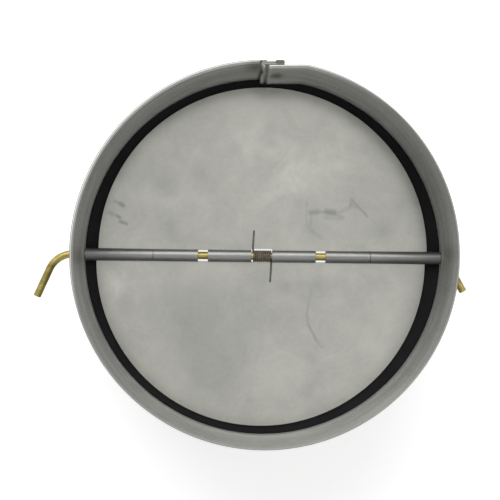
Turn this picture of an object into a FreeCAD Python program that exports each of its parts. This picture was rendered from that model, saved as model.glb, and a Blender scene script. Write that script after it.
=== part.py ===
import FreeCAD, Part
import math
import os

from FreeCAD import Placement, Rotation, Vector

# Round butterfly backdraft damper for a 6 in duct: a rolled collar, two half-disc flaps on one hinge
# rod, a gasket ring that they close on, and the torsion spring that closes them.
# Millimetres. The collar's axis is Z and its inlet rim stands on Z = 0, so air goes up, out of the top.
# The hinge rod runs along X. The upper flap is the one on the +Y side.

# Collar
collar_radius = 76.0          # outside, takes a 6 in duct
collar_length = 88.0
collar_sheet = 0.6
bore_radius = collar_radius - collar_sheet
hinge_height = collar_length / 2   # of the rod's axis above the inlet rim
rod_hole_clearance = 0.4      # round the rod in the collar's two drilled holes

# Lock seam at the top of the collar: each edge of the sheet is folded back and hooked in the other
seam_length = 7.25            # straight run between the two folds
seam_gap = 0.05               # between the folded layers
seam_hook_gap = 0.1           # left before the end of each hooked edge meets the other fold
seam_blend_radius = 12.0      # where the inner layer bends into the round wall
seam_notch_start = 0.45       # relief in the outer layer at each rim, from the start of the seam
seam_notch_width = 4.3
seam_notch_depth = 3.0
groove_radius = 1.2           # of the seaming wheel's edge, which marks the inner layer
groove_depth = 0.2
groove_place = 1.0            # along the seam
punch_radius = 4.0            # of the punch that locks the seam
punch_length = 5.0            # of its straight part
punch_depth = 0.22
punch_inset = 24.7            # from each rim
punch_place = 4.6             # along the seam

# Hinge rod
rod_radius = 1.5875           # 1/8 in
rod_left_overhang = 4.1       # straight part beyond the collar's wall, to the start of the left bend
rod_right_overhang = -0.9     # the right bend starts in the wall, because it is made in place
rod_left_bend = (10.9, 66.0)  # centre-line radius and angle in degrees
rod_right_bend = (3.2, 61.0)
rod_left_leg = 12.7
rod_right_leg = 14.5

# Closing spring
spring_wire = 0.75
spring_wire_flats = 8         # drawn on the thin wire, which keeps its many turns light
spring_clearance = 0.1625     # round the rod
spring_pitch_gap = 0.055      # between turns
spring_turns = 9
leg_lift = 24.0               # degrees that each leg climbs from the coil over the flap's edge
leg_overrun = 1.4             # of the leg's crest beyond the flap's edge
leg_bend_radius = 2.0
leg_reach = 10.9              # of each leg's tip from the rod's axis
leg_lean = 0.24               # of each leg's tip towards the middle of the coil
leg_gap = 0.1                 # between the leg's tip and the flap

spring_mean_radius = rod_radius + spring_clearance + spring_wire / 2
spring_pitch = spring_wire + spring_pitch_gap
coil_turns = spring_turns + 2 * leg_lift / 360
coil_length = coil_turns * spring_pitch + spring_wire

# Flaps: two like stampings, one of them turned half a turn and set back along the rod
flap_sheet = 0.76
flap_side_gap = 5.65          # between the half disc's arc and the bore, beside the rod
flap_top_gap = 3.55           # and at the top
knuckle_clearance = 0.3       # round the rod
curl_angle = 310.0
flap_edge_gap = 0.33          # between the half disc's straight edge and the knuckles that overhang it
spring_notch_depth = 0.75     # cut back in the upper flap's straight edge beside the coil
knuckle_length = 18.4
knuckle_gap = 0.55            # between the outer knuckles of the two flaps
knuckle_end_gap = 1.5         # between the last knuckle and the bore
window = 4.25                 # bare rod between the inner knuckles of the two flaps
spring_bay_gap = 0.64         # between the coil and the knuckles each side of it, in all
spring_side_gap = 0.25        # of that, beside the upper flap's knuckle
lower_flap_shift = -0.8       # along the rod

flap_radius = bore_radius - flap_side_gap
flap_rise = flap_side_gap - flap_top_gap
knuckle_bore = rod_radius + knuckle_clearance
knuckle_radius = knuckle_bore + flap_sheet
flap_notch = math.sqrt((knuckle_radius + flap_edge_gap) ** 2 - knuckle_bore ** 2)
inner_knuckle = (coil_length + spring_bay_gap + lower_flap_shift) / 2
far_knuckle = lower_flap_shift - inner_knuckle - knuckle_length - window
last_knuckle = lower_flap_shift - far_knuckle + knuckle_length + knuckle_gap
knuckles = (
    (far_knuckle - knuckle_length, far_knuckle),
    (inner_knuckle, inner_knuckle + knuckle_length),
    (last_knuckle, bore_radius - knuckle_end_gap),
)

# Gasket
gasket_width = 9.5
gasket_thickness = 6.4
gasket_gap = 0.1              # under the closed flaps
glue_film = 0.05

# Turns a profile drawn in XY and extruded along Z so that it is drawn in YZ and extruded along X
TO_ROD_AXIS = Rotation(Vector(1, 1, 1), 120)


def trace(start, heading, moves):
    """Centre line of a bent strip or wire: runs (length,) and tangent bends (radius, degrees).

    A bend to the left has a positive angle. Each move comes back as its ends, its normals there, and
    the middle and the centre of its bend, or None for a run.
    """
    point, angle, legs = Vector(*start, 0), heading, []
    for move in moves:
        along = Vector(math.cos(math.radians(angle)), math.sin(math.radians(angle)), 0)
        left = Vector(-along.y, along.x, 0)
        if len(move) == 1:
            end = point + along * move[0]
            legs.append((point, end, left, left, None, None))
            point = end
            continue
        radius, turn = move
        centre = point + left * math.copysign(radius, turn)
        spin = Rotation(Vector(0, 0, 1), turn)
        half = Rotation(Vector(0, 0, 1), turn / 2)
        end = centre + spin.multVec(point - centre)
        legs.append((point, end, left, spin.multVec(left), half.multVec(left), (centre, half)))
        point, angle = end, angle + turn
    return legs


def offset_edges(legs, distance):
    """Edges of a traced line moved sideways, to its left."""
    edges = []
    for start, end, left, end_left, mid_left, bend in legs:
        a, b = start + left * distance, end + end_left * distance
        if bend is None:
            edges.append(Part.LineSegment(a, b).toShape())
            continue
        centre, half = bend
        middle = centre + half.multVec(start - centre) + mid_left * distance
        edges.append(Part.Arc(a, middle, b).toShape())
    return edges


def strip_face(legs, thickness):
    """Section of a sheet of even thickness along a traced line."""
    left, right = offset_edges(legs, thickness / 2), offset_edges(legs, -thickness / 2)
    caps = [
        Part.LineSegment(left[0].firstVertex(True).Point, right[0].firstVertex(True).Point).toShape(),
        Part.LineSegment(left[-1].lastVertex(True).Point, right[-1].lastVertex(True).Point).toShape(),
    ]
    return Part.Face(Part.Wire(Part.sortEdges(left + right + caps)[0]))


def seam_layer(count):
    """Depth of a layer's middle below the outer layer's middle."""
    return count * (collar_sheet + seam_gap)


def seam_blend():
    """Where the seam's straight inner layer bends into the round wall: its start, and the angle."""
    wall = collar_radius - collar_sheet / 2
    rise = wall - seam_layer(3) - seam_blend_radius
    start = math.sqrt((wall - seam_blend_radius) ** 2 - rise ** 2)
    return start, math.degrees(math.atan2(start, rise))


def collar_trace():
    """The collar's sheet from one edge to the other, round the axis, with a hook at each end."""
    wall = collar_radius - collar_sheet / 2
    fold = seam_layer(1)
    blend_start, blend_angle = seam_blend()
    hook_end = seam_hook_gap + collar_sheet / 2 - fold
    return trace(
        (hook_end, wall - seam_layer(2)),
        0,
        [
            (seam_length - hook_end,),
            (fold, 180),
            (seam_length,),
            (wall, 360 - blend_angle),
            (seam_blend_radius, blend_angle),
            (blend_start,),
            (fold, -180),
            (seam_length - hook_end,),
        ],
    )


def seam_marks():
    """What the seaming wheel and the punch press into the seam's inner face: a groove and two dents."""
    seam_face = bore_radius - seam_layer(3)
    groove = Vector(groove_place, seam_face + groove_depth - groove_radius, 0)
    marks = [Part.makeCylinder(groove_radius, collar_length, groove)]
    for height in (punch_inset, collar_length - punch_inset):
        start = Vector(punch_place, seam_face + punch_depth - punch_radius, height - punch_length / 2)
        dent = Part.makeCylinder(punch_radius, punch_length, start)
        ends = [Part.makeSphere(punch_radius, start + Vector(0, 0, end)) for end in (0, punch_length)]
        marks.append(dent.fuse(ends))
    return marks


def collar_sleeve():
    """Rolled collar with its lock seam and the marks in it, the two rod holes, and the notched rims."""
    sleeve = strip_face(collar_trace(), collar_sheet).extrude(Vector(0, 0, collar_length))
    hole = rod_radius + rod_hole_clearance
    across = Vector(-2 * collar_radius, 0, hinge_height)
    cuts = [Part.makeCylinder(hole, 4 * collar_radius, across, Vector(1, 0, 0))]
    corner = Vector(seam_notch_start, bore_radius - seam_gap / 2, 0)
    notch = Part.makeBox(seam_notch_width, 2 * collar_sheet, seam_notch_depth, corner)
    cuts += [notch, notch.translated(Vector(0, 0, collar_length - seam_notch_depth))]
    return sleeve.cut(cuts + seam_marks())


def bore_face(clearance):
    """The inside of the collar's section, this far clear of its wall and of the seam."""
    bore = bore_radius - clearance
    seam_face = bore - seam_layer(3)
    nose = -seam_layer(1) - collar_sheet / 2 - clearance
    blend_start, blend_angle = seam_blend()
    blend = seam_blend_radius - collar_sheet / 2 - clearance
    centre = Vector(blend_start, seam_face - blend, 0)

    def on_blend(degrees):
        return centre + blend * Vector(math.sin(math.radians(degrees)), math.cos(math.radians(degrees)), 0)

    step = Vector(nose, math.sqrt(bore ** 2 - nose ** 2), 0)
    corners = [step, Vector(nose, seam_face, 0), on_blend(0)]
    edges = [Part.LineSegment(a, b).toShape() for a, b in zip(corners, corners[1:])]
    edges.append(Part.Arc(on_blend(0), on_blend(blend_angle / 2), on_blend(blend_angle)).toShape())
    edges.append(Part.Arc(on_blend(blend_angle), Vector(0, -bore, 0), step).toShape())
    return Part.Face(Part.Wire(edges))


def gasket_ring():
    """Foam ring stuck to the collar's bore, shaped round the seam, with its face just under the flaps."""
    face_height = hinge_height - knuckle_radius - gasket_gap
    bottom = Vector(0, 0, face_height - gasket_thickness)
    bore = bore_face(glue_film).translated(bottom).extrude(Vector(0, 0, gasket_thickness))
    return bore.cut(Part.makeCylinder(bore_radius - gasket_width, gasket_thickness, bottom))


def knuckle(start, end):
    """A tab of the flap's sheet, rolled round the rod from behind with its edge back on the flap."""
    middle = knuckle_radius - flap_sheet / 2
    legs = trace((flap_notch, -middle), 180, [(flap_notch,), (middle, -curl_angle)])
    tab = strip_face(legs, flap_sheet).extrude(Vector(0, 0, end - start))
    tab.Placement = Placement(Vector(start, 0, hinge_height), TO_ROD_AXIS)
    return tab


def flap():
    """Half disc with its straight edge beside the rod, and three knuckles rolled from its own sheet."""
    back = hinge_height - knuckle_radius
    centre = Vector(0, flap_rise, back)
    half_chord = math.sqrt(flap_radius ** 2 - (flap_notch - flap_rise) ** 2)
    left, right = Vector(-half_chord, flap_notch, back), Vector(half_chord, flap_notch, back)
    arc = Part.Arc(right, centre + Vector(0, flap_radius, 0), left).toShape()
    plate = Part.Face(Part.Wire([arc, Part.LineSegment(left, right).toShape()]))
    plate = plate.extrude(Vector(0, 0, flap_sheet))
    return plate.fuse([knuckle(*span) for span in knuckles]).removeSplitter()


def upper_flap():
    """A flap whose straight edge is cut back between the two inner knuckles, beside the coil."""
    coil_bay = Vector(lower_flap_shift - inner_knuckle, 0, hinge_height - knuckle_radius)
    width = 2 * inner_knuckle - lower_flap_shift
    return flap().cut(Part.makeBox(width, flap_notch + spring_notch_depth, flap_sheet, coil_bay))


def lower_flap():
    """A flap turned half a turn about the collar's axis, with its straight edge left whole."""
    shape = flap()
    shape.rotate(Vector(0, 0, 0), Vector(0, 0, 1), 180)
    return shape.translated(Vector(lower_flap_shift, 0, 0))


def bar(path, radius, sides=0):
    """Bar swept along a path of tangent edges: round, or with this many flats and a round bar's area."""
    first = path[0]
    start, along = first.valueAt(first.FirstParameter), first.tangentAt(first.FirstParameter)
    section = Part.makeCircle(radius, start, along)
    if sides:
        corner = radius * math.sqrt(2 * math.pi / sides / math.sin(2 * math.pi / sides))
        around = Part.makeCircle(corner, start, along)
        section = Part.makePolygon(around.discretize(sides + 1))
    return Part.Wire(path).makePipeShell([Part.Wire(section)], True, False)


def hinge_rod():
    """Straight rod with its left end bent gently and its right end bent tight against the collar."""
    bend_radius, bend_angle = rod_left_bend
    turn = math.radians(bend_angle)
    left_reach = collar_radius + rod_left_overhang
    tip = (
        -left_reach - bend_radius * math.sin(turn) - rod_left_leg * math.cos(turn),
        -bend_radius * (1 - math.cos(turn)) - rod_left_leg * math.sin(turn),
    )
    moves = [
        (rod_left_leg,),
        (bend_radius, -bend_angle),
        (left_reach + collar_radius + rod_right_overhang,),
        (rod_right_bend[0], -rod_right_bend[1]),
        (rod_right_leg,),
    ]
    path = offset_edges(trace(tip, bend_angle, moves), 0)
    return bar(path, rod_radius).translated(Vector(0, 0, hinge_height))


def spring_leg(start, away):
    """Centre line of a leg from the coil's end: a climb over the flap's edge, a bend, a fall to its tip."""
    away = away.normalize()
    crest = start + away * ((flap_notch + leg_overrun - abs(start.y)) / abs(away.y))
    rest = hinge_height - knuckle_bore + spring_wire / 2 + leg_gap
    lean = math.copysign(leg_lean, -away.x)
    tip = Vector(start.x + lean, math.copysign(leg_reach, away.y), rest)
    down = (tip - crest).normalize()
    half_turn = away.getAngle(down) / 2
    cut = leg_bend_radius * math.tan(half_turn)
    inward = (down - away).normalize()
    middle = crest + inward * (leg_bend_radius / math.cos(half_turn) - leg_bend_radius)
    return [
        Part.LineSegment(start, crest - away * cut).toShape(),
        Part.Arc(crest - away * cut, middle, crest + down * cut).toShape(),
        Part.LineSegment(crest + down * cut, tip).toShape(),
    ]


def closing_spring():
    """Close-wound coil round the rod, wound so that opening either flap tightens it."""
    coil = Part.makeHelix(spring_pitch, spring_pitch * coil_turns, spring_mean_radius).Edges[0]
    coil = coil.mirror(Vector(0, 0, 0), Vector(0, 1, 0)).Edges[0]
    coil.rotate(Vector(0, 0, 0), Vector(0, 0, 1), leg_lift - 90)
    start = inner_knuckle - spring_side_gap - coil_length + spring_wire / 2
    coil.Placement = Placement(Vector(start, 0, hinge_height), TO_ROD_AXIS) * coil.Placement
    first, last = coil.FirstParameter, coil.LastParameter
    upper = spring_leg(coil.valueAt(first), coil.tangentAt(first) * -1)
    lower = spring_leg(coil.valueAt(last), coil.tangentAt(last))
    wire = Part.Wire(Part.sortEdges(upper + [coil] + lower)[0])
    return bar(wire.OrderedEdges, spring_wire / 2, spring_wire_flats)


parts = {
    "collar_sleeve": collar_sleeve(),
    "gasket_ring": gasket_ring(),
    "flap_upper": upper_flap(),
    "flap_lower": lower_flap(),
    "hinge_rod": hinge_rod(),
    "closing_spring": closing_spring(),
}

os.makedirs("parts", exist_ok=True)
for name, shape in parts.items():
    print(name, shape.isValid(), len(shape.Solids), round(shape.Volume, 2), shape.BoundBox)
    shape.exportStep(f"parts/{name}.step")
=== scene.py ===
import math

import bmesh
import bpy
import numpy as np
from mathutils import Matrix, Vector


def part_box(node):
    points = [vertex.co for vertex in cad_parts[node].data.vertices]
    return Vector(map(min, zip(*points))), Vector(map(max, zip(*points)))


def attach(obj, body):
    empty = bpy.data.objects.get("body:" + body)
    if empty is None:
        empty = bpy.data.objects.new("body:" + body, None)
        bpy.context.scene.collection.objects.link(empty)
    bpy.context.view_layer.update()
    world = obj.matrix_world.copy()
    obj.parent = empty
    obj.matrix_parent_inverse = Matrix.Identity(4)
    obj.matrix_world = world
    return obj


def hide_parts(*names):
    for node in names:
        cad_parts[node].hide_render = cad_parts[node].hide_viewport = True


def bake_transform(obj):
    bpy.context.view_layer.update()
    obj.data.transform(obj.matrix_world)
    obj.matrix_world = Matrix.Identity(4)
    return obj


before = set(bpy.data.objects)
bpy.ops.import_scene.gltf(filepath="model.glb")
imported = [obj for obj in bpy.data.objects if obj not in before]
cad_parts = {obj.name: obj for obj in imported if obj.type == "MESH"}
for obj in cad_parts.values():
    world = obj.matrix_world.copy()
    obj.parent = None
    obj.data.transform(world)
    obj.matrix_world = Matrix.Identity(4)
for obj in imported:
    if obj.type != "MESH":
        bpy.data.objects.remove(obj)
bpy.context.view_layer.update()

# Collar sleeve
# One strip of galvanised sheet, rolled into a tube. Its two edges are folded back and hooked into each
# other in a flat lock seam, which is punched to hold it. The hinge rod runs through two drilled holes.
mm = 0.001
sleeve_low, sleeve_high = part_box("collar_sleeve")
sleeve_radius = (sleeve_high.x - sleeve_low.x) / 2 / mm
sleeve_length = (sleeve_high.z - sleeve_low.z) / mm
sleeve_sheet = 0.6
bore_radius = sleeve_radius - sleeve_sheet
rim_ease = 0.14
hinge_height = sleeve_length / 2
rod_hole_radius, drill_overrun = 1.9875, 3.0

seam_length = 7.25
seam_gap, seam_hook_gap = 0.05, 0.1
seam_step = sleeve_sheet + seam_gap
seam_blend_radius = 12.0
seam_turn = 0.9
notch_start, notch_end, notch_depth, notch_side = 1.25, 4.75, 3.0, 0.04
punch_place, punch_inset = 5.6, 24.7
punch_width, punch_height, punch_depth = 1.9, 4.5, 0.4
groove_place, groove_width, groove_depth = 1.25, 0.85, 0.45
ridge_place, ridge_width, ridge_height = 2.7, 0.55, 0.15
pinch_up, pinch_height, pinch_depth, pinch_reach = 26.0, 8.0, 0.9, 1.6
crevice_place, crevice_width = -0.9, 0.9
stain_place, stain_width, stain_up, stain_height = -3.4, 3.6, 30.0, 11.0
# Where the knuckles' painted shadow and reflection lies on the wall above each hole.
knuckle_shadow_up, knuckle_shadow_height, knuckle_shadow_width = 20.0, 15.0, 3.5
# Strengths of the painted shade in the punch marks, the darkening of the fold's rims, the knuckles'
# painted shadow and reflection, and the fold's painted highlight.
punch_shade, fold_rim_darkening, knuckle_shadow_strength, fold_highlight = 1.3, 0.7, 0.55, 0.45
# Painted light inside the wall, brightest at this line just over the gasket and fading over this reach.
painted_light_line, painted_light_reach = 45.0, 13.0
# A streaky darker band inside the wall, at this line and fading over this reach.
dark_band_line, dark_band_reach = 53.0, 4.0
rim_width = 0.3
# Inside both ends, a painted sheen on the side this way, over this width from the rim.
sheen_side, sheen_width = (-0.57, 0.82, 0), 6.0


def even(count):
    """Shares from 0 to 1 in equal steps."""
    return np.linspace(0, 1, count)


def bent_line(start, heading, moves):
    """Line of runs (length, shares) and bends (radius, degrees, shares), with its left-hand normals.

    A run's points are its start plus the shares of its length. A bend's are its centre plus the radius
    times the normal, turned through the shares of its angle. Each point also says which move it is on.
    """
    point, angle = np.array(start, float), math.radians(heading)
    points, turns, numbers = [], [], []
    for number, (*move, shares) in enumerate(moves):
        if len(move) == 1:
            along = np.array([math.cos(angle), math.sin(angle)])
            points.append(point + np.outer(shares * move[0], along))
            turns.append(angle + 0 * shares)
            point = point + move[0] * along
        else:
            radius = math.copysign(*move)
            centre = point + radius * np.array([-math.sin(angle), math.cos(angle)])
            turned = angle + math.radians(move[1]) * shares
            points.append(centre + radius * np.stack([np.sin(turned), -np.cos(turned)], 1))
            turns.append(turned)
            angle += math.radians(move[1])
            point = centre + radius * np.array([math.sin(angle), -math.cos(angle)])
        numbers.append(number + 0 * shares)
    points, turns, numbers = map(np.concatenate, (points, turns, numbers))
    fresh = np.r_[True, np.linalg.norm(np.diff(points, axis=0), axis=1) > 1e-6]
    normals = np.stack([-np.sin(turns), np.cos(turns)], 1)
    return points[fresh], normals[fresh], numbers[fresh]


def rounded_section(width, height, corner, stations=()):
    """Points round a rectangle with rounded corners, as offsets across and up from its middle.

    A corner's six points are its centre plus the radius times cosine and sine, and one more beyond each
    end keeps the sides flat. Stations from -1 to 1 add points up both sides.
    """
    turn = np.radians([0, 0, 18, 36, 54, 72, 90, 90])
    beyond = corner * np.array([1, 0, 0, 0, 0, 0, 0, 0])
    across = width / 2 - corner * (1 - np.cos(turn)) - beyond[::-1]
    up = height / 2 - corner * (1 - np.sin(turn)) - beyond
    side_up = (height / 2 - 3 * corner) * np.array(stations, float)
    side = width / 2 + 0 * side_up
    across, up = np.broadcast_arrays(across, up)
    side, side_up = np.broadcast_arrays(side, side_up)
    back = (..., slice(None, None, -1))
    across = [across, -across[back], -side, -across, across[back], side]
    up = [up, up[back], side_up[back], -up, -up[back], side_up]
    return np.concatenate(across, -1), np.concatenate(up, -1)


def grid_quads(rows, columns, ring=False):
    """Quads of a grid whose columns close from last to first, and whose rows do so too in a ring."""
    number = np.arange(rows * columns).reshape(rows, columns)
    number = np.concatenate([number, number[:, :1]], 1)
    if ring:
        number = np.concatenate([number, number[:1]])
    corners = (number[:-1, :-1], number[:-1, 1:], number[1:, 1:], number[1:, :-1])
    return np.stack(corners, -1).reshape(-1, 4)


def add_piece(name, points, quads, **shades):
    """Object with these points, in millimetres, and quads, smooth but for its sharp edges.

    Doubled points are merged and flat quads go. A shade is one value a point, which a material reads.
    """
    mesh = bpy.data.meshes.new(name)
    mesh.from_pydata(points * mm, [], quads)
    for shade, values in shades.items():
        carried = mesh.attributes.new(shade, "FLOAT", "POINT").data
        carried.foreach_set("value", values.astype(np.float32).ravel())
    tidy = bmesh.new()
    tidy.from_mesh(mesh)
    bmesh.ops.remove_doubles(tidy, verts=tidy.verts, dist=1e-7)
    bmesh.ops.dissolve_degenerate(tidy, edges=tidy.edges, dist=1e-7)
    loose = [vertex for vertex in tidy.verts if not vertex.link_faces]
    bmesh.ops.delete(tidy, geom=loose, context="VERTS")
    bmesh.ops.recalc_face_normals(tidy, faces=tidy.faces)
    tidy.to_mesh(mesh)
    tidy.free()
    mesh.shade_smooth()
    mesh.set_sharp_from_angle(angle=math.radians(35))
    piece = bpy.data.objects.new(name, mesh)
    bpy.context.scene.collection.objects.link(piece)
    return piece


def hump(distance):
    """1 at no distance, falling smoothly to nothing: the exponential of minus the distance squared."""
    return np.exp(-distance ** 2)


def turned(points, degrees):
    """Points turned about the collar's axis, where cosine and sine of the angle mix their X and Y."""
    cosine, sine = math.cos(math.radians(degrees)), math.sin(math.radians(degrees))
    return points @ np.array([[cosine, sine, 0], [-sine, cosine, 0], [0, 0, 1]])


def sleeve_mesh():
    """The sheet's long thin section carried along the rolled and folded line of the collar.

    In the seam's outer layer the section is shorter at each end, as a notch. In its inner layer the inner
    face sinks by humps, in a groove and in two punch marks, and rises beside the groove in a ridge. Two
    more humps along the seam pinch its inner fold sideways, most at the fold and not from their reach on.
    Turned into place, the fold is pressed flat where it would stand out past the tube. Quads from one
    side of the section to the other close the line's two ends.

    Three shades go with the points. Painted highlight is for the seam's fold and the ridge beside its
    groove, and inside for the bore's face. Grime and shade is painted shade in the seam's hollows and in
    the corner beside its fold, a darkening of its fold's rims, a brown stain beside the seam, and a
    painted shadow and reflection of the knuckles above the holes.
    """
    wall = sleeve_radius - sleeve_sheet / 2
    rise = wall - 3 * seam_step - seam_blend_radius
    blend_start = math.sqrt((wall - seam_blend_radius) ** 2 - rise ** 2)
    blend_angle = math.degrees(math.atan2(blend_start, rise))
    hook_end = seam_hook_gap + sleeve_sheet / 2 - seam_step
    notch_edges = np.array([notch_end + notch_side, notch_end, notch_start, notch_start - notch_side])
    moves = [
        (seam_length - hook_end, even(12)),
        (seam_step, 180, even(13)),
        (seam_length, np.sort(np.r_[even(16), 1 - notch_edges / seam_length])),
        (wall, 360 - blend_angle, np.unique(np.r_[0.02 * even(20), even(331)])),
        (seam_blend_radius, blend_angle, even(9)),
        (blend_start, even(90)),
        (seam_step, -180, even(13)),
        (seam_length - hook_end, even(12)),
    ]
    line, normals, layer = bent_line((hook_end, wall - 2 * seam_step), 0, moves)

    punch_up = sleeve_length / 2 - punch_inset
    by_punch = np.linspace(punch_up - 2 * punch_height, punch_up + 2 * punch_height, 17)
    by_punch = np.r_[by_punch, -by_punch] / hinge_height
    stations = np.unique(np.r_[np.linspace(-1, 1, 21), by_punch])
    x = line[:, :1]
    notched = (x > notch_start - notch_side / 2) & (x < notch_end + notch_side / 2)
    height = sleeve_length - 2 * notch_depth * (notched & (layer == 2)[:, None])
    depth, up = rounded_section(sleeve_sheet, height, rim_ease, stations)

    groove = hump((x - groove_place) / groove_width)
    ridge = hump((x - ridge_place) / ridge_width)
    punch = hump((x - punch_place) / punch_width) * hump((np.abs(up) - punch_up) / punch_height)
    inner_face = (layer == 5)[:, None] & (depth > 0)
    sunk = depth - inner_face * (groove_depth * groove + punch_depth * punch - ridge_height * ridge)
    around = line[:, None] + sunk[..., None] * normals[:, None]
    pinch = pinch_depth * hump((np.abs(up) - pinch_up) / pinch_height)
    in_seam = np.isin(layer, (0, 2, 5, 6, 7))[:, None]
    around[..., 0] += in_seam * pinch * np.clip((pinch_reach - x) / (pinch_reach + seam_step), 0, 1)
    points = np.concatenate([around, (hinge_height + up)[..., None]], -1)

    beside_seam = (layer == 3)[:, None] & (line[:, 1:] > 0) & (depth > 0) & (x < 0)
    # Painted shade in the corner beside the fold's nose; further along the wall, a brown stain.
    crevice_shade = hump((x - crevice_place) / crevice_width)
    stain = hump((x - stain_place) / stain_width) * hump((up - stain_up) / stain_height)
    # Painted shade in the groove and the punch marks.
    shaded_hollows = inner_face * np.maximum(groove, punch_shade * np.sqrt(punch))
    grime = shaded_hollows + beside_seam * np.maximum(crevice_shade, stain)
    rim = np.abs(up) > height / 2 - rim_ease
    # The rims of the fold's layers past the notch are darkened.
    fold_rim = rim & np.isin(layer, (0, 1, 2, 7))[:, None] & (x > notch_end)
    grime = np.clip(np.maximum(grime, fold_rim_darkening * fold_rim), 0, 1)
    # Painted highlight on the ridge beside the groove and on the fold's nose.
    bright = fold_highlight * (inner_face * ridge + (layer == 6)[:, None])
    inside = np.isin(layer, (3, 4, 5))[:, None] & (depth > 0)
    # Painted shadow and reflection of the knuckles on the wall above each hole.
    by_hole = inside & (np.abs(x) > bore_radius / 2)
    knuckle_shadow = hump(np.hypot((up - knuckle_shadow_up) / knuckle_shadow_height, line[:, 1:] / knuckle_shadow_width))
    grime = np.maximum(grime, knuckle_shadow_strength * by_hole * knuckle_shadow)

    count, loop = depth.shape
    corner_points = 8
    left = np.arange(corner_points, corner_points + loop // 2)
    right = (2 * corner_points - 1 - left) % loop
    end = np.stack([left[:-1], left[1:], right[1:], right[:-1]], 1)
    quads = np.concatenate([grid_quads(count, loop), end, end + (count - 1) * loop])
    points = turned(points.reshape(-1, 3), seam_turn)
    points[:, 1] = np.minimum(points[:, 1], sleeve_radius)
    return add_piece("sleeve", points, quads, bright=bright, grime=grime, inside=inside)


def drill(piece, radius, start, end):
    """Cuts a round hole from start to end along X, at the hinge's height, through a piece's mesh."""
    bpy.ops.mesh.primitive_cylinder_add(
        radius=radius * mm,
        depth=(end - start) * mm,
        vertices=64,
        rotation=(0, math.pi / 2, 0),
        location=((start + end) / 2 * mm, 0, hinge_height * mm),
    )
    drill_bit = bpy.context.object
    cut = piece.modifiers.new("hole", "BOOLEAN")
    cut.object = drill_bit
    evaluated = piece.evaluated_get(bpy.context.evaluated_depsgraph_get())
    drilled = bpy.data.meshes.new_from_object(evaluated)
    piece.modifiers.clear()
    piece.data = drilled
    drilled.set_sharp_from_angle(angle=math.radians(35))
    bpy.data.objects.remove(drill_bit)


class Value:
    """A node's output, on which a sum is written as a Python expression that adds its Math nodes."""

    def __init__(self, shading, socket):
        self.shading = shading
        self.socket = socket

    def __add__(self, other):
        return self.shading.math("ADD", self, other)

    def __sub__(self, other):
        return self.shading.math("SUBTRACT", self, other)

    def __rsub__(self, other):
        return self.shading.math("SUBTRACT", other, self)

    def __mul__(self, other):
        return self.shading.math("MULTIPLY", self, other)

    __radd__ = __add__
    __rmul__ = __mul__


class Shading:
    """The nodes of a material or of the sky, which is a block that has them, and the shader they feed."""

    def __init__(self, block, shader, **uniform):
        self.block = block
        block.use_nodes = True
        self.shader = block.node_tree.nodes[shader]
        self.feed(**uniform)

    def fill(self, node, sockets):
        """Gives a node's sockets their values or links."""
        for name, value in sockets.items():
            socket = node.inputs[name]
            if isinstance(value, Value):
                self.block.node_tree.links.new(value.socket, socket)
            elif socket.type == "RGBA":
                socket.default_value = (*value, 1)
            else:
                socket.default_value = value

    def feed(self, **sockets):
        self.fill(self.shader, {name.replace("_", " "): value for name, value in sockets.items()})

    def node(self, kind, settings, sockets, output=0):
        """Adds a node from its type, its settings, and the values or links of its sockets."""
        node = self.block.node_tree.nodes.new("ShaderNode" + kind)
        for setting, value in settings.items():
            if setting != "stops":
                setattr(node, setting, value)
                continue
            for place, _ in value[2:]:
                node.color_ramp.elements.new(place)
            for element, (place, colour) in zip(node.color_ramp.elements, value):
                element.position = place
                element.color = (*colour, 1)
        self.fill(node, sockets)
        return Value(self, node.outputs[output])

    def math(self, operation, *numbers):
        return self.node("Math", {"operation": operation}, dict(enumerate(numbers)))

    def vector(self, operation, *vectors, output=0):
        """Vector Math, whose output 1 is the one that gives a number."""
        return self.node("VectorMath", {"operation": operation}, dict(enumerate(vectors)), output=output)

    def place(self, *per_metre):
        """Object coordinates times so many a metre along each axis."""
        return self.vector("MULTIPLY", self.node("TexCoord", {}, {}, output="Object"), per_metre)

    def shade(self, name):
        """A value that the mesh carries at its points."""
        return self.node("Attribute", {"attribute_name": name}, {}, output="Fac")

    def mask(self, value, low, high):
        """0 at low and 1 at high, straight between them and flat beyond."""
        return self.node("MapRange", {}, {0: value, 1: low, 2: high})

    def clouds(self, *per_metre, detail=3, roughness=0.55, distortion=0):
        """Noise from about 0 to 1, with so many clouds a metre along each axis."""
        sockets = {"Vector": self.place(*per_metre), "Scale": 1, "Detail": detail}
        sockets |= {"Roughness": roughness, "Distortion": distortion}
        return self.mask(self.node("TexNoise", {}, sockets), 0.28, 0.72)

    def grains(self, per_metre, output="Color"):
        """Cells of a size, each with its own random number or the distance from its middle."""
        sockets = {"Vector": self.place(per_metre, per_metre, per_metre), "Scale": 1}
        cells = self.node("TexVoronoi", {}, sockets, output=output)
        return self.node("SeparateColor", {}, {0: cells}) if output == "Color" else cells

    def ramp(self, value, *stops):
        return self.node("ValToRGB", {"stops": stops}, {0: value})

    def mix(self, share, first, second):
        """Colour that goes from the first to the second as the share goes from 0 to 1."""
        return self.node("Mix", {"data_type": "RGBA"}, {0: share, 6: first, 7: second}, output=2)

    def bump(self, relief, depth):
        """Normal of a relief this deep in millimetres."""
        return self.node("Bump", {}, {"Distance": depth * mm, "Height": relief})


def new_finish(name, **uniform):
    """A new material, with these values for its shader's uniform sockets."""
    return Shading(bpy.data.materials.new(name), "Principled BSDF", **uniform)


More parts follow.
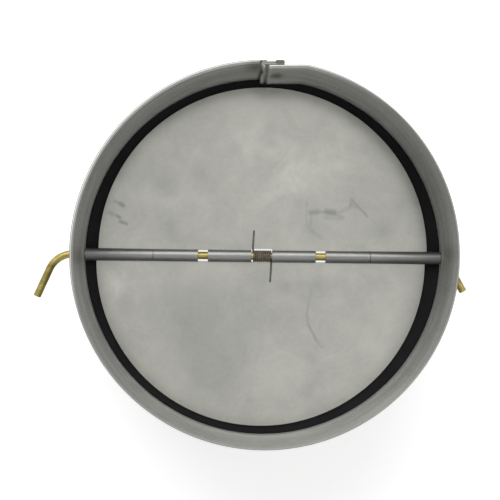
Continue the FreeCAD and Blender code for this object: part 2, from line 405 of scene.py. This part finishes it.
def galvanised():
    """Dull zinc with the mill's grain round the collar, faint spangle and stains.

    Painted highlights brighten the seam's fold and ridge, the cut rims are dull, and a brown stain and
    painted shade darken the seam and the wall over the holes. Inside, painted light brightens the wall
    towards a line just over the gasket, with a streaky darker band above that, and both ends carry a
    painted sheen on one side.
    """
    zinc = new_finish("galvanised sheet", Metallic=0.6)
    grain = zinc.clouds(25, 25, 420, detail=6, roughness=0.7)
    bands = zinc.clouds(6, 6, 110, detail=4)
    stains = zinc.clouds(160, 160, 120, detail=8, roughness=0.75)
    clouds = zinc.clouds(22, 22, 30, detail=4)
    specks = zinc.clouds(1000, 1000, 1000, detail=3, roughness=0.7)
    spangle = zinc.grains(180)
    height = zinc.node("SeparateXYZ", {}, {0: zinc.place(0, 0, 1 / mm)}, output="Z")
    inside = zinc.shade("inside")
    # Painted light: the inside is brighter towards a line just over the gasket.
    rubbed = inside * zinc.mask(zinc.math("ABSOLUTE", height - painted_light_line), painted_light_reach, 1)
    # A streaky darker band above that.
    dull = inside * zinc.mask(zinc.math("ABSOLUTE", height - dark_band_line), dark_band_reach, 1)
    tone = 0.22 * bands + 0.28 * grain + 0.1 * stains + 0.1 * clouds + 0.05 * spangle + 0.25 * specks
    tone = tone + 0.31 * rubbed - 0.2 * bands * dull
    skin = zinc.ramp(tone, (0.27, (0.18, 0.18, 0.175)), (0.73, (0.51, 0.51, 0.49)))
    # Painted highlight on the seam's fold and ridge.
    skin = zinc.mix(zinc.shade("bright"), skin, (0.55, 0.55, 0.53))
    from_middle = zinc.math("ABSOLUTE", height - hinge_height)
    rims = zinc.mask(from_middle, hinge_height - rim_width, hinge_height - rim_width / 3)
    skin = zinc.mix(rims, skin, (0.25, 0.25, 0.24))
    # Painted sheen inside both ends, on one side.
    towards_sheen_side = zinc.vector("DOT_PRODUCT", zinc.place(1 / mm, 1 / mm, 0), sheen_side, output=1)
    sheen_from = hinge_height - sheen_width
    painted_sheen = inside * zinc.mask(from_middle + clouds, sheen_from, sheen_from + sheen_width / 4)
    painted_sheen = painted_sheen * (0.1 + 0.85 * zinc.mask(towards_sheen_side, 20, 60))
    skin = zinc.mix(painted_sheen, skin, (0.85, 0.85, 0.83))
    # A brown stain and painted shade, carried by the mesh.
    grime = zinc.shade("grime") * (0.7 + 0.3 * clouds)
    zinc.feed(
        Base_Color=zinc.mix(grime, skin, (0.065, 0.06, 0.035)),
        Roughness=0.45 + 0.12 * stains + 0.06 * spangle,
        Normal=zinc.bump(0.4 * grain + 0.3 * bands + 0.3 * stains, 0.03),
    )
    return zinc.block


sleeve = sleeve_mesh()
drill(sleeve, rod_hole_radius, -sleeve_radius - drill_overrun, -bore_radius + drill_overrun)
drill(sleeve, rod_hole_radius, bore_radius - drill_overrun, sleeve_radius + drill_overrun)
sleeve.data.materials.append(galvanised())
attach(sleeve, "collar")
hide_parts("collar_sleeve")

# Gasket ring
# A strip of black closed-cell foam, stuck round the inside of the collar and shaped over the seam. The
# closed flaps rest on its face.
gasket_low, gasket_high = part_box("gasket_ring")
gasket_outer = (gasket_high.x - gasket_low.x) / 2 / mm
gasket_width = 9.5
gasket_inner = bore_radius - gasket_width
gasket_height = (gasket_high.z - gasket_low.z) / mm
gasket_middle = (gasket_high.z + gasket_low.z) / 2 / mm
gasket_corner = 0.45
nose_turn = 0.0002


def gasket_mesh():
    """A soft-cornered rectangle carried round the collar's axis.

    Its outer radius is the bore's, and along the seam no more than the seam face's distance over the
    sine of the angle. At the seam's nose it steps from one to the other within a hair's turn.
    """
    seam_face = gasket_outer - 3 * seam_step
    nose = math.acos((-seam_step - sleeve_sheet / 2 - seam_gap) / seam_face)
    angle = np.sort(np.r_[np.linspace(0, 2 * math.pi, 721)[:-1], nose, nose + nose_turn])[:, None]
    beside_seam = (angle > math.pi / 4) & (angle < nose + nose_turn / 2)
    to_seam = seam_face / np.sin(np.where(beside_seam, angle, math.pi / 2))
    outer = np.where(beside_seam, np.minimum(gasket_outer, to_seam), gasket_outer)
    across, up = rounded_section(outer - gasket_inner, gasket_height, gasket_corner)
    radius = (outer + gasket_inner) / 2 + across
    points = np.stack([radius * np.cos(angle), radius * np.sin(angle), gasket_middle + up], -1)
    points = turned(points.reshape(-1, 3), seam_turn)
    return add_piece("gasket", points, grid_quads(*radius.shape, ring=True))


def foam():
    """Black foam with fine cells and a little dust."""
    black = new_finish("black foam", Specular_IOR_Level=0.2)
    cells = black.grains(1800, output="Distance")
    dust = black.clouds(120, 120, 120, detail=6)
    black.feed(
        Base_Color=black.ramp(dust, (0.1, (0.004, 0.004, 0.0045)), (0.9, (0.012, 0.012, 0.013))),
        Roughness=0.75 + 0.15 * dust,
        Normal=black.bump(cells, 0.1),
    )
    return black.block


gasket = gasket_mesh()
gasket.data.materials.append(foam())
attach(gasket, "collar")
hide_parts("gasket_ring")

# Flaps
# Two like half discs stamped from aluminium sheet. Each has three tabs on its straight edge that are
# rolled round the rod as knuckles. The lower one is half a turn on, so that its knuckles fall between.
flap_sheet = 0.76
flap_radius = 69.75
flap_rise = 2.1
rod_radius = 1.5875
knuckle_play, knuckle_gap = 0.3, 0.33
knuckle_bore = rod_radius + knuckle_play
knuckle_middle = knuckle_bore + flap_sheet / 2
knuckle_curl = 310
flap_edge = math.sqrt((knuckle_bore + flap_sheet + knuckle_gap) ** 2 - knuckle_bore ** 2)
flap_corner = math.sqrt(flap_radius ** 2 - (flap_edge - flap_rise) ** 2)
flap_edge_ease = 0.1
lower_flap_shift = -0.8
inner_knuckle = 3.971
outer_knuckle = bore_radius - 0.35
knuckles = ((-46.17, -27.421), (inner_knuckle, 22.371), (45.571, outer_knuckle))
coil_bay = (lower_flap_shift - inner_knuckle, inner_knuckle)
coil_bay_depth = 0.75

smudges = (
    (3, 55, 4), (2.5, 48, 5), (-13, 46, 5), (-27, 36, 6), (-42, 31, 8), (20, 11, 5), (51, 11, 8),
    (10, -13, 5), (24, -13, 5), (-4, -62, 3), (20, -57, 5), (-58, -20, 6),
    # The last three are broad patches that darken the lower flap's left half.
    (-28, -18, 17), (-26, -38, 21), (-20, -52, 14),
)
# Lighter patches: the first two a lighter band, the last two painted light that offsets the darkening
# towards the flaps' edges.
lighter_places = ((9, 42, 12), (10, 27, 13), (35, 50, 14), (-60, -14, 12))
scuffs = (
    (20.8, 19.2, 23.4, 19.3, 2, 0.75), (27.2, 19, 29.8, 18.7, 2.1, 0.85),
    (27, 16.6, 33.5, 16.2, 1.5, 0.3), (23, 18.9, 31, 18.6, 1.1, 0.5),
    (31, 17.8, 34, 16.9, 1.2, 0.4), (31, 18.2, 36.8, 20.8, 1.3, 0.3),
    (37.8, 24, 37.2, 21.4, 1, 0.65), (37.8, 24, 40.8, 21.2, 1, 0.65),
    (37.2, 21.4, 40.8, 21.2, 0.9, 0.4), (40.8, 21.2, 44.4, 17.6, 0.9, 0.55),
    (18.6, 23.3, 18.5, 14.2, 1, 0.25), (20.9, 17.3, 19.9, 13.2, 1, 0.4),
    (19, 13, 24.1, 8.6, 1.6, 0.25), (-63.4, 22.5, -60.9, 21.8, 0.9, 0.6),
    (-60.9, 21.8, -59.2, 21, 1.3, 1), (-65, 17.6, -62.5, 16.9, 1.2, 0.5),
    (-62, 16.8, -60.9, 16.1, 1.2, 0.7), (-61, 14.4, -58.2, 13.2, 1.2, 0.75),
    (21, -13.7, 19.8, -18.4, 0.9, 0.25), (19.8, -18.4, 18.9, -24.1, 0.9, 0.3),
    (18.9, -24.1, 20.1, -28.8, 0.8, 0.4), (20.1, -28.8, 22.9, -35.3, 1, 0.5),
    (22.9, -35.3, 25.7, -38.6, 0.9, 0.3), (15.4, -11.4, 23.9, -12.4, 2.2, 0.15),
)


def sheet_quads(solid):
    """Both faces of a sheet over a grid's solid cells, and its edge where a cell has no neighbour."""
    rows, columns = solid.shape
    number = np.arange(2 * (rows + 1) * (columns + 1)).reshape(2, rows + 1, columns + 1)
    corners = [number[:, :-1, :-1], number[:, 1:, :-1], number[:, 1:, 1:], number[:, :-1, 1:]]
    around = np.pad(solid, 1)
    neighbours = [around[1:-1, :-2], around[2:, 1:-1], around[1:-1, 2:], around[:-2, 1:-1]]
    quads = [np.stack([corner[side] for corner in corners], -1)[solid] for side in (0, 1)]
    for first, second, neighbour in zip(corners, corners[1:] + corners[:1], neighbours):
        edge = np.stack([first[0], first[1], second[1], second[0]], -1)
        quads.append(edge[solid & ~neighbour])
    return np.concatenate(quads)


def flap_mesh(name, facing, shift, bay):
    """A grid along the rod by across the sheet, in two layers half the sheet each side of its middle.

    The plate's rows share out the way from its arc to its straight edge. Under the tabs the same columns
    go on to below the rod and then curl round it. The last row before the edge is left out in the coil's
    bay. Facing is 1 for the upper flap and -1 for the lower one, half a turn on. The outer tab of a flap
    that is shifted towards the wall is cut that much shorter.
    """
    borders = np.unique(np.r_[-flap_corner, np.ravel(knuckles), bay, flap_corner])
    borders[-1] += shift
    spans = list(zip(borders, borders[1:]))
    columns = [np.linspace(start, end, math.ceil(end - start) + 1)[:-1] for start, end in spans]
    x = np.concatenate([*columns, borders[-1:]])
    middle = (x[1:] + x[:-1]) / 2
    in_knuckle = np.any([(middle > start) & (middle < end) for start, end in knuckles], axis=0)

    lowest = math.asin((flap_edge - flap_rise) / flap_radius)
    turn = math.pi - lowest - (x + flap_corner) / (2 * flap_corner) * (math.pi - 2 * lowest)
    bay_share = coil_bay_depth / (flap_rise + flap_radius - flap_edge)
    share = np.r_[np.linspace(1, 0, 16)[:-1], bay_share, 0][:, None]
    plate_x = (1 - share) * x + share * flap_radius * np.cos(turn)
    plate_y = (1 - share) * flap_edge + share * (flap_rise + flap_radius * np.sin(turn))
    in_plate = np.tile(np.abs(middle) < flap_corner, (len(share) - 1, 1))
    in_plate[-1] &= (middle < min(bay, default=0)) | (middle > max(bay, default=0))

    moves = [(flap_edge, even(4)), (knuckle_middle, -knuckle_curl, even(73))]
    tab, normals, _ = bent_line((flap_edge, -knuckle_middle), 180, moves)
    tab_rows = (len(tab) - 1, len(x))
    layers = []
    for side in (flap_sheet / 2, -flap_sheet / 2):
        curl = (tab + side * normals)[1:, :, None]
        along = np.concatenate([plate_x, np.broadcast_to(x, tab_rows)])
        across = np.concatenate([plate_y, np.broadcast_to(curl[:, 0], tab_rows)])
        up = np.concatenate([0 * plate_y - knuckle_middle - side, np.broadcast_to(curl[:, 1], tab_rows)])
        layers.append(np.stack([facing * along + shift, facing * across, hinge_height + up], -1))
    solid = np.concatenate([in_plate, np.tile(in_knuckle, (len(tab) - 1, 1))])
    rolled = np.tile(np.repeat([0, 1], [len(share), len(tab) - 1]), 2).repeat(len(x))
    piece = add_piece(name, np.stack(layers).reshape(-1, 3), sheet_quads(solid), rolled=rolled)
    ease = piece.modifiers.new("eased edges", "BEVEL")
    ease.width = flap_edge_ease * mm
    ease.segments = 2
    ease.angle_limit = math.radians(50)
    ease.harden_normals = True
    return piece


def flap_metal():
    """Mill-finish aluminium with a faint haze, dull smudges of handling, a broad darker region on the
    lower flap, lighter patches and dark scuffs. Some lighter patches are painted light towards the flaps'
    edges.

    A patch is 1 at its middle and fades to 0 at its radius. A stroke is 1 along the straight between its
    ends and fades to 0 at its reach. Noise bends them all and clouds break them up. The scuffs are on the
    outlet side only. The rolled knuckles are darker and duller than the flat sheet.
    """
    alloy = new_finish("flap aluminium", Metallic=0.95)
    haze = alloy.clouds(16, 16, 16, detail=2)
    clouds = alloy.clouds(70, 70, 70, detail=6, roughness=0.65, distortion=0.5)
    fine = alloy.clouds(600, 600, 600)
    sockets = {"Vector": alloy.place(90, 90, 0), "Scale": 1, "Detail": 3}
    drift = alloy.node("TexNoise", {}, sockets, output="Color")
    drift = alloy.vector("SUBTRACT", drift, (0.5, 0.5, 0))
    here = alloy.place(1 / mm, 1 / mm, 0)

    def patches(places):
        """Round patches at each place and radius, with their edges bent by up to 4 mm."""
        bent = alloy.vector("MULTIPLY_ADD", drift, (8, 8, 0), here)
        total = 0
        for x, y, radius in places:
            distance = alloy.vector("DISTANCE", bent, (x, y, 0), output=1)
            total = total + alloy.mask(distance, radius, 0.2 * radius)
        return alloy.math("MINIMUM", total, 1)

    def strokes(places):
        """Strokes from each start to its end, with their reach and strength, bent by up to 1.5 mm.

        How far along a stroke a point is: its dot product with the stroke, over the stroke's length
        squared.
        """
        bent = alloy.vector("MULTIPLY_ADD", drift, (3, 3, 0), here)
        darkest = 0
        for start_x, start_y, end_x, end_y, reach, strength in places:
            stroke = np.array([end_x - start_x, end_y - start_y, 0])
            from_start = alloy.vector("SUBTRACT", bent, (start_x, start_y, 0))
            share = alloy.vector("DOT_PRODUCT", from_start, stroke / (stroke @ stroke), output=1)
            nearest = alloy.vector("MULTIPLY", stroke, alloy.mask(share, 0, 1))
            distance = alloy.vector("DISTANCE", from_start, nearest, output=1)
            darkest = alloy.math("MAXIMUM", darkest, strength * alloy.mask(distance, reach, 0.2 * reach))
        return darkest

    smudge = patches(smudges) * alloy.mask(clouds, 0.1, 0.7)
    # Lighter patches, the last two painted light.
    lighter_patches = patches(lighter_places) * alloy.mask(clouds, 0, 0.8)
    tone = 0.5 * haze + 0.4 * clouds + 0.1 * fine + 0.35 * (lighter_patches - smudge)
    skin = alloy.ramp(tone, (0, (0.315, 0.315, 0.29)), (1, (0.5, 0.5, 0.455)))
    height = alloy.node("SeparateXYZ", {}, {0: alloy.place(0, 0, 1 / mm)}, output="Z")
    flap_top = hinge_height - knuckle_bore
    on_top = alloy.mask(height, flap_top - flap_sheet / 2, flap_top - flap_edge_ease / 2)
    marks = strokes(scuffs) * alloy.mask(clouds, -0.3, 0.5) * on_top
    skin = alloy.mix(marks, skin, (0.22, 0.22, 0.21))
    rolled = alloy.shade("rolled")
    rubs = alloy.clouds(55, 300, 300, detail=4)
    alloy.feed(
        Base_Color=alloy.mix(rolled * (0.6 + 0.3 * rubs), skin, (0.17, 0.17, 0.17)),
        Roughness=0.18 + 0.05 * clouds + 0.1 * marks + 0.22 * rolled,
        Normal=alloy.bump(0.3 * fine + 0.7 * clouds, 0.005),
    )
    return alloy.block


flap_finish = flap_metal()
flap_places = (("upper_flap", 1, 0, coil_bay), ("lower_flap", -1, lower_flap_shift, ()))
for flap, facing, shift, bay in flap_places:
    piece = flap_mesh(flap + "_plate", facing, shift, bay)
    piece.data.materials.append(flap_finish)
    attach(piece, flap)
    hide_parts("flap_" + flap[:5])

# Hinge rod
# Round steel rod, 1/8 in thick and zinc plated yellow, pushed through the collar and all six knuckles
# and then bent down at both ends so that it can't come out.
rod_left_reach, rod_right_reach = sleeve_radius + 4.1, sleeve_radius - 0.65
rod_left_bend, rod_right_bend = (10.9, 66), (3.2, 61)
rod_left_leg, rod_right_leg = 12.7, 14.2
rod_chamfer = 0.25


def round_bar(name, line, radius, chamfers, across):
    """Bar round a line: the line's point plus the radius times cosine and sine, square to the line.

    The first of the two square directions is the line's own crossed with a fixed one. At each end the
    radius shrinks by a chamfer and then to nothing.
    """
    along = np.gradient(line, axis=0)
    along /= np.linalg.norm(along, axis=1)[:, None]
    side = np.cross(along, across)
    side /= np.linalg.norm(side, axis=1)[:, None]
    square = np.cross(side, along)
    start, end = chamfers
    rings = np.r_[0, 0, 0, np.arange(1, len(line) - 1), [len(line) - 1] * 3]
    slide = np.r_[0, 0, start, np.zeros(len(line) - 2), -end, 0, 0][:, None]
    radii = np.r_[0, radius - start, np.full(len(line), radius), radius - end, 0][:, None, None]
    turn = np.linspace(0, 2 * math.pi, 41)[:-1, None]
    ring = np.cos(turn) * side[rings][:, None] + np.sin(turn) * square[rings][:, None]
    points = (line[rings] + slide * along[rings])[:, None] + radii * ring
    quads = grid_quads(len(rings), len(turn))
    return add_piece(name, points.reshape(-1, 3), quads)


def rod_line():
    """The rod's middle from its left tip to its right one: leg, bend, straight run, bend, leg."""
    turn = math.radians(rod_left_bend[1])
    tip = (
        -rod_left_reach - rod_left_bend[0] * math.sin(turn) - rod_left_leg * math.cos(turn),
        -rod_left_bend[0] * (1 - math.cos(turn)) - rod_left_leg * math.sin(turn),
    )
    moves = [
        (rod_left_leg, even(16)),
        (rod_left_bend[0], -rod_left_bend[1], even(40)),
        (rod_left_reach + rod_right_reach, even(120)),
        (rod_right_bend[0], -rod_right_bend[1], even(32)),
        (rod_right_leg, even(16)),
    ]
    line, _, _ = bent_line(tip, rod_left_bend[1], moves)
    return np.c_[line, np.full(len(line), hinge_height)]


def yellow_plating():
    """Satin gold skin of yellow zinc that turns olive and brown in patches, rubbed along the rod."""
    plate = new_finish("yellow zinc plating", Metallic=0.9)
    patches = plate.clouds(70, 250, 250, detail=4)
    rubs = plate.clouds(260, 1800, 1800, detail=3)
    specks = plate.mask(plate.clouds(900, 900, 900, detail=3), 0.75, 0.95)
    skin = plate.ramp(
        0.7 * patches + 0.3 * rubs,
        (0.15, (0.18, 0.13, 0.04)), (0.5, (0.31, 0.25, 0.075)), (0.85, (0.43, 0.38, 0.14)),
    )
    plate.feed(
        Base_Color=plate.mix(0.5 * specks, skin, (0.2, 0.15, 0.08)),
        Roughness=0.3 + 0.15 * patches + 0.08 * rubs,
        Normal=plate.bump(0.6 * rubs + 0.4 * patches, 0.02),
    )
    return plate.block


rod = round_bar("rod", rod_line(), rod_radius, (rod_chamfer, rod_chamfer), (0, 0, 1))
rod.data.materials.append(yellow_plating())
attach(rod, "rod")
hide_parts("hinge_rod")

# Closing spring
# Dark spring wire close wound round the middle of the rod. Each end climbs over its flap's edge and
# rests on the flap, so that opening either flap tightens the coil.
spring_wire = 0.75
spring_radius = 2.125
spring_pitch = 0.82
leg_lift = 24
spring_turns = 9 + 2 * leg_lift / 360
spring_gap = 0.1
spring_end = inner_knuckle - spring_gap - spring_wire / 2
spring_start = spring_end - spring_pitch * spring_turns
spring_middle = (spring_start + spring_end) / 2
leg_overrun = 1.4
leg_bend_radius = 2.0
leg_reach = 10.9
leg_lean = 0.24
leg_height = hinge_height - knuckle_bore + spring_wire / 2 + spring_gap
wire_chamfer = 0.08


def unit(vector):
    return vector / np.linalg.norm(vector)


def spring_half(name, end_turn):
    """Half of the coil, from its middle to this turn, and the leg that goes on from there.

    The coil is a helix: along the rod by the pitch for each turn, and cosine and sine of the turn across
    it. The leg leaves straight on, as the last three points have it by a second-order difference, to a
    crest over the flap, and falls straight to its tip. Its bend is the arc that touches both straights,
    with its centre on the line that halves the angle between them.
    """
    turns = np.linspace(spring_turns / 2, end_turn, 221)
    phase = math.radians(leg_lift - 90) - 2 * math.pi * turns
    across, up = spring_radius * np.cos(phase), hinge_height + spring_radius * np.sin(phase)
    coil = np.stack([spring_start + spring_pitch * turns, across, up], 1)
    end = coil[-1]
    away = unit(3 * coil[-1] - 4 * coil[-2] + coil[-3])
    crest = end + away * (flap_edge + leg_overrun - abs(end[1])) / abs(away[1])
    lean = math.copysign(leg_lean, -away[0])
    tip = np.array([end[0] + lean, math.copysign(leg_reach, away[1]), leg_height])
    down = unit(tip - crest)
    half_turn = math.acos(away @ down) / 2
    inward, onward = unit(down - away), unit(down + away)
    swing = np.linspace(-half_turn, half_turn, 13)[:, None]
    centre = crest + inward * leg_bend_radius / math.cos(half_turn)
    bend = centre + leg_bend_radius * (np.sin(swing) * onward - np.cos(swing) * inward)
    line = np.concatenate([coil, bend, tip[None]])
    return round_bar(name, line, spring_wire / 2, (0, wire_chamfer), (1, 0, 0))


def spring_steel():
    """Hard-drawn wire with a thin brown skin of oil and scale."""
    wire = new_finish("brown spring wire", Metallic=0.6)
    scale = wire.clouds(500, 500, 500, detail=4)
    skin = wire.ramp(scale, (0.1, (0.11, 0.095, 0.077)), (0.9, (0.2, 0.18, 0.15)))
    wire.feed(
        Base_Color=skin,
        Roughness=0.6 + 0.15 * scale,
        Normal=wire.bump(scale, 0.01),
    )
    return wire.block


spring_finish = spring_steel()
for flap, end_turn, end in (("upper_flap", 0, spring_start), ("lower_flap", spring_turns, spring_end)):
    half = spring_half("spring_half_to_" + flap, end_turn)
    half.data.materials.append(spring_finish)
    spring_middle * mm
    end * mm
    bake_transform(half)
    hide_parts("closing_spring")

# Camera, floor and light
# The damper stands on its inlet rim on a white floor, with the camera above its outlet, almost on its
# axis. A large soft lamp beyond the seam lights it, and the sky fills in.
camera = bpy.data.objects.new("camera", bpy.data.cameras.new("camera"))
camera.data.lens = 91.43
camera.data.sensor_width = 36
camera.location = (-0.0098, -0.0082, 0.5816)
camera.rotation_euler = [math.radians(degrees) for degrees in (1.139, -0.48, 0.66)]
bpy.context.scene.collection.objects.link(camera)
bpy.context.scene.camera = camera

floor_reach = 3.0
floor_mesh = bpy.data.meshes.new("floor")
floor_corners = [(floor_reach * x, floor_reach * y, 0) for x, y in ((-1, -1), (1, -1), (1, 1), (-1, 1))]
floor_mesh.from_pydata(floor_corners, [], [(0, 1, 2, 3)])
floor = bpy.data.objects.new("floor", floor_mesh)
bpy.context.scene.collection.objects.link(floor)


def shows_background(shading):
    """1 for rays from the camera, off gloss and through glass, which see a white background, or 0."""
    kinds = ("Camera", "Glossy", "Transmission")
    rays = [shading.node("LightPath", {}, {}, output=f"Is {kind} Ray") for kind in kinds]
    return shading.math("MINIMUM", sum(rays), 1)


paper = new_finish("white floor", Base_Color=(0.8, 0.8, 0.8), Roughness=0.9, Specular_IOR_Level=0)
radius = paper.vector("LENGTH", paper.place(1, 1, 0), output=1)
glow = paper.mix(paper.mask(radius, 0.3, 1), (0.5, 0.5, 0.5), (1, 1, 1))
# Inside the collar's circle the floor glows brighter to seen rays: painted light that fills the damper's
# shadow under the flaps.
glow = paper.mix(paper.mask(radius, 0.073, 0.071), glow, (0.85, 0.85, 0.85))
paper.feed(Emission_Color=paper.mix(shows_background(paper), (0, 0, 0), glow), Emission_Strength=1)
floor.data.materials.append(paper.block)

sky_strength = 0.45
bpy.context.scene.world = bpy.data.worlds.new("sky")
sky = Shading(bpy.context.scene.world, "Background", Color=(1, 1, 1))
sky.feed(Strength=sky_strength + (1 - sky_strength) * shows_background(sky))


def soft_lamp(name, place, size, power):
    """Square lamp of this size in metres and power in watts, aimed at the middle of the damper."""
    lamp = bpy.data.objects.new(name, bpy.data.lights.new(name, "AREA"))
    lamp.data.size = size
    lamp.data.energy = power
    lamp.location = place
    lamp.rotation_euler = (-lamp.location).to_track_quat("-Z", "Y").to_euler()
    bpy.context.scene.collection.objects.link(lamp)


soft_lamp("key", (-0.2, 1.1, 1.2), 1.4, 20)
soft_lamp("fill", (0.9, -0.1, 0.8), 0.8, 2)

bpy.context.scene.view_settings.view_transform = "Standard"
